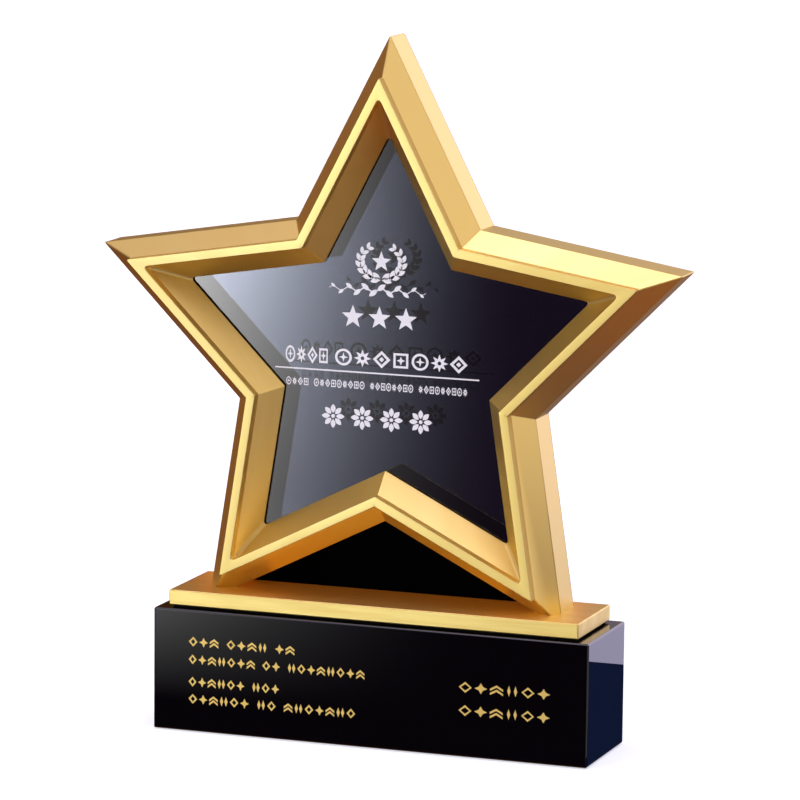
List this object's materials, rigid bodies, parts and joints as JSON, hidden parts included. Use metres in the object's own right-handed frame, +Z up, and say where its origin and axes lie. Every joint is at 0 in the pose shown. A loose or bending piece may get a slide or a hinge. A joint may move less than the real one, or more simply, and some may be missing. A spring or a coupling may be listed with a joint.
{
  "type": "star trophy",
  "caption": "Star trophy: a bevelled gold star rim around a dark crystal star, on a gold plate and a black crystal block.",
  "frame": {"origin": "under the middle of the base block, on the surface that the trophy stands on", "axes": "+Z up, +X to the right as seen from the front, -Y the front"},
  "size_m": [0.2518, 0.049, 0.2923],
  "materials": {
    "gold_rim": "brushed gold plating on a casting",
    "gold_plate": "brushed gold plating",
    "clear_crystal": "polished",
    "black_sheet": "gloss black",
    "black_foam": "matt",
    "black_cover": "satin black",
    "black_steel": "black oxide",
    "bright_steel": "plain zinc",
    "black_crystal": "polished",
    "black_felt": "felt",
    "white_ink": "printed ink",
    "gold_fill": "gold fill in an engraving"
  },
  "bodies": {
    "root": {"star_frame": "gold_rim", "crystal_star": "clear_crystal", "crystal_backing": "black_sheet", "front_seal": "black_foam", "rear_pad": "black_foam", "rear_cover": "black_cover", "rear_cover_screws": "black_steel", "leg_screws": "bright_steel", "base_plate": "gold_plate", "plate_pad": "black_foam", "base_block": "black_crystal", "base_felt": "black_felt", "wreath_print": "white_ink", "scroll_print": "white_ink", "three_star_print": "white_ink", "title_print": "white_ink", "rule_print": "white_ink", "subtitle_print": "white_ink", "rosette_print": "white_ink", "base_marks_left": "gold_fill", "base_marks_right": "gold_fill"}
  },
  "joints": []
}
